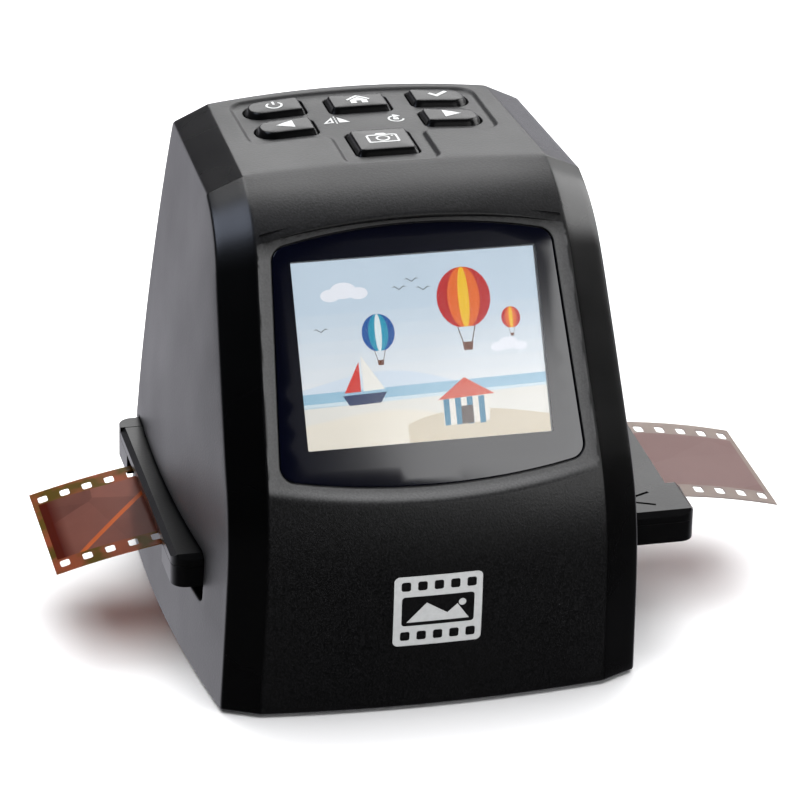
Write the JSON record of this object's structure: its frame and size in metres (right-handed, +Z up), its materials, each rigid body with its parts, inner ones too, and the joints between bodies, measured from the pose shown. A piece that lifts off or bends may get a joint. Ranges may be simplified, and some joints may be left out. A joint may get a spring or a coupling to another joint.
{
  "type": "film negative scanner",
  "caption": "Compact desktop scanner for strips of film negatives, with a sloping display, push buttons on top and a film tray that slides in from the side.",
  "frame": {"origin": "centre of the housing's footprint on the surface it stands on", "axes": "+X to the right of a user facing the display, along the film; +Y to the rear; +Z up"},
  "size_m": [0.151, 0.0884, 0.0992],
  "materials": {
    "case_black": "fine matte texture",
    "cover_black": "fine matte texture",
    "key_black": "satin",
    "tray_black": "satin",
    "window_tint": "glossy",
    "picture": "lit picture",
    "lcd_body": "glossy",
    "steel": "brushed",
    "rubber": "matte",
    "board": "solder mask",
    "chips": "satin",
    "switch": "satin",
    "flex": "glossy",
    "inner_black": "matte",
    "jack_black": "satin",
    "optic_black": "matte",
    "lens": "polished",
    "sensor": "glossy",
    "led": "glossy",
    "white_board": "white solder mask",
    "opal": "opal",
    "film": "glossy"
  },
  "bodies": {
    "case": {"main_housing": "case_black", "rear_cover": "cover_black", "rear_screws": "steel", "base_plate": "cover_black", "base_screws": "steel", "rubber_feet": "rubber", "screen_window": "window_tint", "display": "picture", "lcd_panel": "lcd_body", "lcd_bracket": "steel", "lcd_screws": "steel", "display_flex": "flex", "button_board": "board", "tact_switches": "switch", "button_board_screws": "steel", "main_board": "board", "main_chips": "chips", "card_socket": "steel", "usb_socket": "steel", "video_jack": "jack_black", "main_board_screws": "steel", "middle_frame": "inner_black", "middle_frame_screws": "steel", "light_hood": "inner_black", "lens_holder": "optic_black", "lens_barrel": "optic_black", "lens_glass": "lens", "sensor_board": "board", "image_sensor": "sensor", "sensor_flex": "flex", "light_chassis": "inner_black", "led_board": "white_board", "backlight_leds": "led", "diffuser": "opal", "tray_spring": "steel"},
    "power": {"power_button": "key_black"},
    "home": {"home_button": "key_black"},
    "ok": {"ok_button": "key_black"},
    "left": {"left_button": "key_black"},
    "right": {"right_button": "key_black"},
    "capture": {"capture_button": "key_black"},
    "tray": {"tray_base": "tray_black", "tray_lid": "tray_black", "tray_hinge_pin": "steel"},
    "film": {"film_strip": "film"}
  },
  "joints": [
    {"name": "power_press", "type": "slide", "parent": "case", "child": "power", "axis": [0, 0, -1], "range_m": [0, 0.0005], "stiffness_N_per_m": 300, "springref_m": -0.001},
    {"name": "home_press", "type": "slide", "parent": "case", "child": "home", "axis": [0, 0, -1], "range_m": [0, 0.0005], "stiffness_N_per_m": 300, "springref_m": -0.001},
    {"name": "ok_press", "type": "slide", "parent": "case", "child": "ok", "axis": [0, 0, -1], "range_m": [0, 0.0005], "stiffness_N_per_m": 300, "springref_m": -0.001},
    {"name": "left_press", "type": "slide", "parent": "case", "child": "left", "axis": [0, 0, -1], "range_m": [0, 0.0005], "stiffness_N_per_m": 300, "springref_m": -0.001},
    {"name": "right_press", "type": "slide", "parent": "case", "child": "right", "axis": [0, 0, -1], "range_m": [0, 0.0005], "stiffness_N_per_m": 300, "springref_m": -0.001},
    {"name": "capture_press", "type": "slide", "parent": "case", "child": "capture", "axis": [0, 0, -1], "range_m": [0, 0.0005], "stiffness_N_per_m": 300, "springref_m": -0.001},
    {"name": "tray_slide", "type": "slide", "parent": "case", "child": "tray", "axis": [1, 0, 0], "range_m": [0, 0.108]},
    {"name": "film_feed", "type": "slide", "parent": "tray", "child": "film", "axis": [1, 0, 0], "range_m": [-0.00475, 0.00475]}
  ]
}
